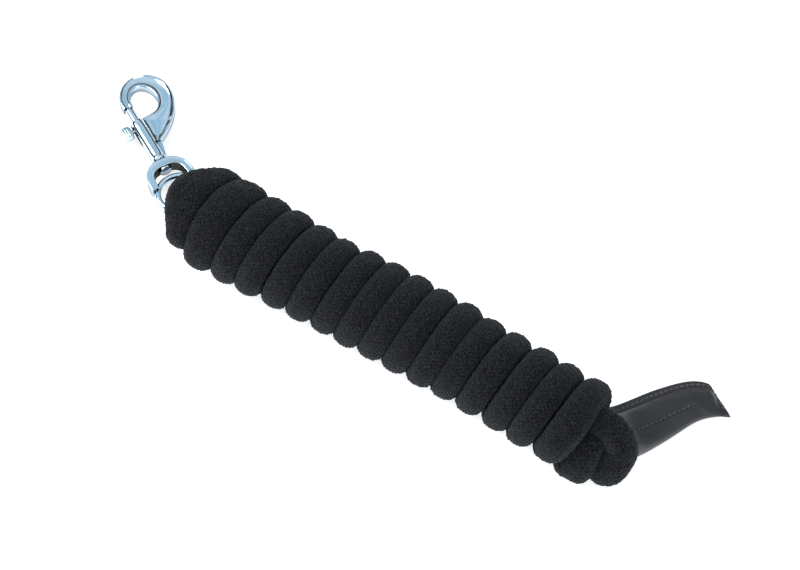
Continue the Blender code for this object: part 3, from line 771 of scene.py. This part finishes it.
def build_stitching(finish):
    """The row along the seam and across the toe, and the row through leather and rope."""
    t = np.linspace(0.05, 0.93, 60)
    long_side = popper_place(t, SEAM_ROW, popper_top(t, np.full_like(t, SEAM_ROW)))
    across = np.linspace(SEAM_ROW - 0.12, -0.86, 30)
    toe_row = 0.955
    toe = popper_place(toe_row, across, popper_top(np.full_like(across, toe_row), across))
    stitches("edge_stitches", np.vstack((long_side, toe)), finish, "popper_edge_stitching")
    t = np.linspace(0.08, 0.6, 40)
    centre = popper_place(t, MIDDLE_ROW, popper_top(t, np.full_like(t, MIDDLE_ROW)))
    stitches("centre_stitches", centre, finish, "popper_centre_stitching")


# ---------------------------------------------------------------- snap


def arc(centre, radii, start, end, steps):
    """Points on an ellipse, between two angles in degrees."""
    angles = np.radians(np.linspace(start, end, steps + 1))
    return np.column_stack((centre[0] + radii[0] * np.cos(angles), centre[1] + radii[1] * np.sin(angles)))


def bezier(a, b, c, d, steps):
    """Points on a curve from a to d, which b and c pull at."""
    t = np.linspace(0, 1, steps + 1)[:, None]
    a, b, c, d = (np.array(p, float) for p in (a, b, c, d))
    return (1 - t) ** 3 * a + 3 * (1 - t) ** 2 * t * b + 3 * (1 - t) * t**2 * c + t**3 * d


def evenly(points, count):
    """A line as evenly spaced points."""
    along = distance_along(points)
    wanted = np.linspace(0, along[-1], count)
    return np.column_stack([np.interp(wanted, along, column) for column in points.T])


def rounded(width, half, radius, dip=0.0):
    """A section as (distance from the outer edge, height): a rectangle with round corners, whose two
    faces are hollowed by dip between their rims."""
    corner = np.radians(np.linspace(0, 90, 6))
    curve = np.column_stack((radius - radius * np.cos(corner), half - radius + radius * np.sin(corner)))
    share = np.linspace(0, 1, 12)[1:-1]
    hollow = np.column_stack((radius + (width - 2 * radius) * share,
                              half - dip * np.sin(math.pi * share) ** 0.6))
    mirrored = np.column_stack((width - curve[::-1, 0], curve[::-1, 1]))
    upper = np.vstack((curve, hollow, mirrored))
    return np.vstack((upper, upper[::-1] * (1, -1)))


def band(name, outer, inner, section, closed=False):
    """A mesh ruled between two lines in the snap's plane; section(width) shapes it across."""
    rings = []
    for first, second in zip(outer, inner):
        width = np.linalg.norm(second - first)
        shape = section(width)
        flat = first + (second - first) * shape[:, :1] / width
        rings.append(np.column_stack((flat, shape[:, 1])))
    return closed_loft(name, np.array(rings), closed)


def closed_mesh(name, points, faces):
    """A mesh whose faces all look outward."""
    mesh = mesh_from(name, points, faces)
    shape = bmesh.new()
    shape.from_mesh(mesh)
    bmesh.ops.recalc_face_normals(shape, faces=shape.faces)
    shape.to_mesh(mesh)
    shape.free()
    return mesh


def closed_loft(name, rings, closed=False):
    """A skin over rings of points, with its two ends filled unless the last ring meets the first."""
    rows, around = rings.shape[:2]
    faces = [tuple(face) for face in grid_faces(rows, around, closed).tolist()]
    if not closed:
        faces.append(tuple(range(around))[::-1])
        faces.append(tuple(range((rows - 1) * around, rows * around)))
    return closed_mesh(name, rings.reshape(-1, 3), faces)


def turned(name, profile, steps=72, flutes=0, depth=0.0, centre_x=0.0):
    """A solid turned about local y. profile lists (radius, y) from end to end; flutes are grooves in it."""
    angles = angles_round(steps)
    groove = 1 - depth * (0.5 + 0.5 * np.cos(flutes * angles)) ** 2
    rings = []
    for radius, y in profile:
        reach = radius * groove
        rings.append(np.column_stack((centre_x + reach * np.cos(angles), np.full(steps, float(y)),
                                      reach * np.sin(angles))))
    return closed_loft(name, np.array(rings))


def prism(name, outline, low, high):
    """An outline of (y, z) points, drawn along local x."""
    rings = [np.column_stack((np.full(len(outline), float(x)), outline)) for x in (low, high)]
    return closed_loft(name, np.array(rings))


def cross_pin(name, radius, low, high, y):
    """A round pin along local x."""
    angles = angles_round(32)
    outline = np.column_stack((y + radius * np.cos(angles), radius * np.sin(angles)))
    return prism(name, outline, low, high)


def combined(name, meshes, cuts=()):
    """One mesh: the first joined with the others, less the cuts."""
    items = []
    for mesh in (*meshes, *cuts):
        item = bpy.data.objects.new(mesh.name + "_tool", mesh)
        bpy.context.scene.collection.objects.link(item)
        items.append(item)
    base = items[0]
    for k, item in enumerate(items[1:], 1):
        step = base.modifiers.new("combine", "BOOLEAN")
        step.operation = "UNION" if k < len(meshes) else "DIFFERENCE"
        step.object = item
        step.solver = "EXACT"
    bpy.context.view_layer.update()
    made = bpy.data.meshes.new_from_object(base.evaluated_get(bpy.context.evaluated_depsgraph_get()))
    made.name = name
    for item in items:
        bpy.data.objects.remove(item, do_unlink=True)
    return made


def add_metal(name, mesh, body, finish, node):
    """A piece of the snap, moved from the snap's own millimetres into place."""
    mesh.transform(SNAP_FRAME @ Matrix.Scale(MM, 4))
    mesh.shade_smooth()
    mesh.set_sharp_from_angle(angle=SHARP_ANGLE)
    piece = add_piece(name, mesh, body, finish)
    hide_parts(node)
    return piece


def hook_band():
    """The hook and its web: raised rims along both edges and a hollow face between them."""
    nose_lean = math.degrees(math.asin((NOSE_END - HOOK_CENTRE[1]) / HOOK_RADII[1]))
    inner_lean = math.degrees(math.asin((NOSE_END - OPENING_CENTRE[1]) / OPENING_RADII[1]))
    outer = [arc(HOOK_CENTRE, HOOK_RADII, 180 - nose_lean, 0, 60)]
    inner = [arc(OPENING_CENTRE, OPENING_RADII, 180 - inner_lean, 0, 60)]
    flank = bezier(outer[0][-1], (33.3, 42), (27, 27), WEB_CORNER, 80)
    outer += [evenly(flank[:41], 31)[1:], evenly(flank[40:], 41)[1:]]
    root = np.array(((OPENING_CENTRE[0], OPENING_CENTRE[1] - OPENING_RADII[1]), (3.2, 37.6), (3.0, 16.3)))
    inner += [arc(OPENING_CENTRE, OPENING_RADII, 0, -90, 30)[1:], evenly(root, 41)[1:]]

    def section(width):
        return rounded(width, HOOK_HALF_THICKNESS, 1.15, dip=min(0.17 * width, 1.9))

    return band("hook", np.vstack(outer), np.vstack(inner), section)


def build_hook(finish):
    """One casting: hook, web, barrel and the rib beside the barrel."""
    barrel = turned("barrel", [(4.3, 0.3), (5.0, 0.9), (5.35, 1.8), (5.35, 2.8), (5.05, 3.6), (5.0, 5.0),
                               *((BARREL_RADIUS, y) for y in np.linspace(8, BARREL_FRONT - 0.8, 9)),
                               (4.85, BARREL_FRONT - 0.25), (4.4, BARREL_FRONT)])
    right = np.array(((8.3, 17.2), (7.9, 13.5), (7.1, 9), (6.2, 4.5), (5.5, 1.6)))
    left = np.column_stack((np.full(5, 2.5), right[:, 1]))
    rib = band("rib", evenly(right, 20), evenly(left, 20), lambda width: rounded(width, 1.3, 0.8))
    bore = turned("bore", [(BORE_RADIUS, -1), (BORE_RADIUS, NOSE_END - 0.2)])
    slot_end = (SLOT_HALF_WIDTH, 1.9)
    outline = np.vstack((arc((0, STUD_POSITION), slot_end, 0, 180, 14),
                         arc((0, STUD_POSITION - BOLT_TRAVEL), slot_end, 180, 360, 14)))
    slot = prism("slot", outline[:, ::-1], -9.0, -0.5)
    mesh = combined("hook_casting", (hook_band(), barrel, rib), (bore, slot))
    add_metal("hook_casting", mesh, "snap", finish, "hook_body")


def build_post(finish):
    """The rivet that the eye turns on: a plug in the barrel, a shank and a domed, peened head."""
    face = -YOKE_BRIDGE - 0.3
    dome = [(4.6 * math.cos(a), face - 0.9 - 1.5 * math.sin(a)) for a in np.radians(np.linspace(0, 84, 10))]
    profile = [(2.4, PLUG_END), (2.8, 3.25), (3.0, 3.0), (3.0, 0.4), (2.9, 0.3), (2.2, 0.3), (2.2, face),
               (4.4, face), (4.6, face - 0.25), *dome]
    add_metal("post_rivet", turned("post", profile), "snap", finish, "swivel_post")


def build_bolt(finish):
    """The sliding bolt, with the hole that takes the knob's pin."""
    corner = (BOLT_RADIUS - BOLT_EDGE, BOLT_TIP - BOLT_EDGE)
    tip = [tuple(point) for point in arc(corner, (BOLT_EDGE, BOLT_EDGE), 0, 90, 6)]
    profile = [(1.0, BOLT_TIP), *tip[::-1], *((BOLT_RADIUS, y) for y in np.linspace(48, 24, 9)),
               (BOLT_RADIUS, BOLT_REAR + 0.4), (BOLT_RADIUS - 0.4, BOLT_REAR)]
    hole = cross_pin("stud_hole", 1.3, -4.5, 0, STUD_POSITION)
    mesh = combined("bolt", (turned("bolt_body", profile),), (hole,))
    add_metal("bolt", mesh, "gate", finish, "gate_bolt")


def build_knob(finish):
    """The fluted thumb knob on its neck, with the pin that is pressed into the bolt."""
    round_end = arc((KNOB_RADIUS - 0.9, KNOB_HALF_LENGTH - 0.6), (0.9, 0.6), 90, 0, 5)
    ends = [(0.4, KNOB_HALF_LENGTH), *round_end]
    profile = [(radius, STUD_POSITION + y) for radius, y in ends]
    profile += [(radius, STUD_POSITION - y) for radius, y in ends[::-1]]
    knob = turned("knob", profile, steps=120, flutes=12, depth=0.16, centre_x=KNOB_OFFSET)
    neck = cross_pin("neck", 1.5, KNOB_OFFSET + 0.5, -BOLT_RADIUS - 0.3, STUD_POSITION)
    pin = cross_pin("pin", 1.0, KNOB_OFFSET + 1.5, -0.3, STUD_POSITION)
    mesh = combined("thumb_knob", (knob, neck, pin))
    add_metal("thumb_knob", mesh, "gate", finish, "thumb_stud")


def build_spring(finish):
    """The coil spring behind the bolt, whose turns lie closer together towards each end."""
    low = PLUG_END + SPRING_GAP + SPRING_WIRE
    high = BOLT_REAR - SPRING_GAP - SPRING_WIRE
    turn = np.linspace(0, SPRING_TURNS, SPRING_TURNS * 28 + 1)
    share = smooth_step(turn, 0, SPRING_TURNS) * 0.35 + 0.65 * turn / SPRING_TURNS
    angle = 2 * math.pi * turn
    path = np.column_stack((SPRING_RADIUS * np.cos(angle), low + (high - low) * share,
                            SPRING_RADIUS * np.sin(angle)))
    _, across, over = carried_frames(path)
    rings = path[:, None, :] + SPRING_WIRE * directions_round(angles_round(10), across, over)
    spring = add_metal("spring_coil", closed_loft("spring", rings), "snap", finish,
                       "bolt_spring")
    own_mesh(spring)


def arch_line(half_width, height, power):
    """Half a superellipse, from the yoke's left foot over the top to its right foot."""
    angle = math.pi * (1 - np.linspace(0, 1, 61))
    x, y = np.cos(angle), np.clip(np.sin(angle), 0, 1)
    return np.column_stack((half_width * np.sign(x) * np.abs(x) ** (2 / power),
                            height * y ** (2 / power) - YOKE_LENGTH))


def mark_shaded_wall(mesh, half_width, height):
    """Mark the yoke's inner wall, which the metal's material darkens with painted shade standing in for the
    shade and the dark rope mirrored inside the yoke.
    """
    places = np.array([tuple(corner.co) for corner in mesh.vertices])
    arch = (np.abs(places[:, 0] / half_width) ** YOKE_INNER_POWER
            + np.abs((places[:, 1] + YOKE_LENGTH) / height) ** YOKE_INNER_POWER)
    on_wall = (np.abs(arch - 1) < 0.07) & (places[:, 1] > 0.5 - YOKE_LENGTH)
    painted_wall_shade = mesh.attributes.new("painted_wall_shade", "FLOAT", "POINT")
    painted_wall_shade.data.foreach_set("value", on_wall.astype(np.float32))


def build_eye(finish):
    """One casting: the yoke that turns on the rivet, and the round ring that the rope is folded through."""
    inner_half, inner_height = YOKE_HALF_WIDTH - YOKE_WALL, YOKE_LENGTH - YOKE_BRIDGE
    outer = arch_line(YOKE_HALF_WIDTH, YOKE_LENGTH, YOKE_OUTER_POWER)
    inner = arch_line(inner_half, inner_height, YOKE_INNER_POWER)
    yoke = band("yoke", outer, inner, lambda width: rounded(width, YOKE_HALF_DEPTH, 0.9, dip=0.35))
    radii = (RING_RADIUS + RING_WIRE_RADIUS, RING_RADIUS - RING_WIRE_RADIUS)
    outside, inside = (arc((0, RING_CENTRE), (radius, radius), 0, 360, 120)[:-1] for radius in radii)
    angles = angles_round(24)
    wire = RING_WIRE_RADIUS * np.column_stack((1 - np.cos(angles), np.sin(angles)))
    ring = band("ring", outside, inside, lambda width: wire, closed=True)
    hole = turned("post_hole", [(2.6, -YOKE_BRIDGE - 1), (2.6, 1)])
    mesh = combined("eye_casting", (yoke, ring), (hole,))
    mark_shaded_wall(mesh, inner_half, inner_height)
    add_metal("eye_casting", mesh, "swivel", finish, "swivel_eye")


# ---------------------------------------------------------------- floor and light


def add_floor():
    corners = [(FLOOR_REACH * x, FLOOR_REACH * y, 0) for x, y in ((-1, -1), (1, -1), (1, 1), (-1, 1))]
    mesh = mesh_from("floor", corners, [(0, 1, 2, 3)], smooth=False)
    floor = bpy.data.objects.new("floor", mesh)
    bpy.context.scene.collection.objects.link(floor)
    look = Shader("white_floor", (0.90, 0.90, 0.90), 0.9)
    look.set((1.0, 1.0, 1.0), "Emission Color")
    look.set(0.62, "Emission Strength")
    mesh.materials.append(look.material)


def add_light(name, place, size, power):
    """A soft square light that faces the middle of the lead."""
    data = bpy.data.lights.new(name, "AREA")
    data.size = size
    data.energy = power
    light = bpy.data.objects.new(name, data)
    light.location = place
    light.rotation_euler = Vector(place).to_track_quat("Z", "Y").to_euler()
    bpy.context.scene.collection.objects.link(light)


def add_studio():
    """The room that the metal mirrors and the soft light from all round."""
    world = bpy.data.worlds.new("studio")
    bpy.context.scene.world = world
    world.use_nodes = True
    tree = world.node_tree
    place = tree.nodes.new("ShaderNodeTexCoord").outputs["Generated"]
    split = tree.nodes.new("ShaderNodeSeparateXYZ")
    tree.links.new(place, split.inputs[0])
    cloth = tree.nodes.new("ShaderNodeTexNoise")
    tree.links.new(place, cloth.inputs["Vector"])
    cloth.inputs["Scale"].default_value = 3.2
    cloth.inputs["Detail"].default_value = 2.0
    height = tree.nodes.new("ShaderNodeMath")
    height.operation = "MULTIPLY_ADD"
    tree.links.new(cloth.outputs["Fac"], height.inputs[0])
    height.inputs[1].default_value = 0.30
    tree.links.new(split.outputs["Z"], height.inputs[2])
    ramp = tree.nodes.new("ShaderNodeValToRGB")
    tree.links.new(height.outputs[0], ramp.inputs[0])
    # From the horizon up: dark studio walls, then white cloth, then a pale blue ceiling.
    fill_ramp(ramp.color_ramp, ((0.10, (0.4, 0.4, 0.4)), (0.16, (0.05, 0.047, 0.045)),
                                (0.48, (0.10, 0.092, 0.088)), (0.56, (0.38, 0.44, 0.49)),
                                (0.68, (1.0, 1.0, 1.0)), (0.76, (0.72, 0.90, 1.0)),
                                (0.88, (0.46, 0.73, 0.93)), (1.0, (0.85, 0.95, 1.0))))
    background = tree.nodes["Background"]
    tree.links.new(ramp.outputs[0], background.inputs[0])
    background.inputs[1].default_value = 0.8


# ---------------------------------------------------------------- everything

add_camera()
ROPE, ROPE_LINE, ROPE_LENGTH = build_rope(rope_material())
POPPER = build_popper(leather_material())
build_stitching(thread_material())
CHROME = metal_material("chrome", (0.56, 0.71, 0.84), (0.76, 0.90, 1.0), (0.45, 0.44, 0.45), (0.05, 0.12))
build_hook(CHROME)
build_post(CHROME)
build_bolt(CHROME)
build_knob(CHROME)
build_eye(CHROME)
build_spring(metal_material("spring_steel", (0.22, 0.21, 0.20), (0.50, 0.50, 0.51), (0.7, 0.7, 0.7),
                            (0.24, 0.42)))
CLAMP_STEEL = metal_material("clamp_steel", (0.30, 0.29, 0.28), (0.60, 0.60, 0.61), (0.7, 0.7, 0.7),
                             (0.22, 0.45), 0.05)
frame["nodes"]["eye_clamp"].material_slots[0].material = CLAMP_STEEL
add_floor()
add_light("key", (-1.5, -0.55, 1.35), 1.1, 26)
add_light("fill", (1.3, -0.9, 1.3), 1.3, 14)
add_studio()
bpy.context.scene.view_settings.view_transform = "Standard"
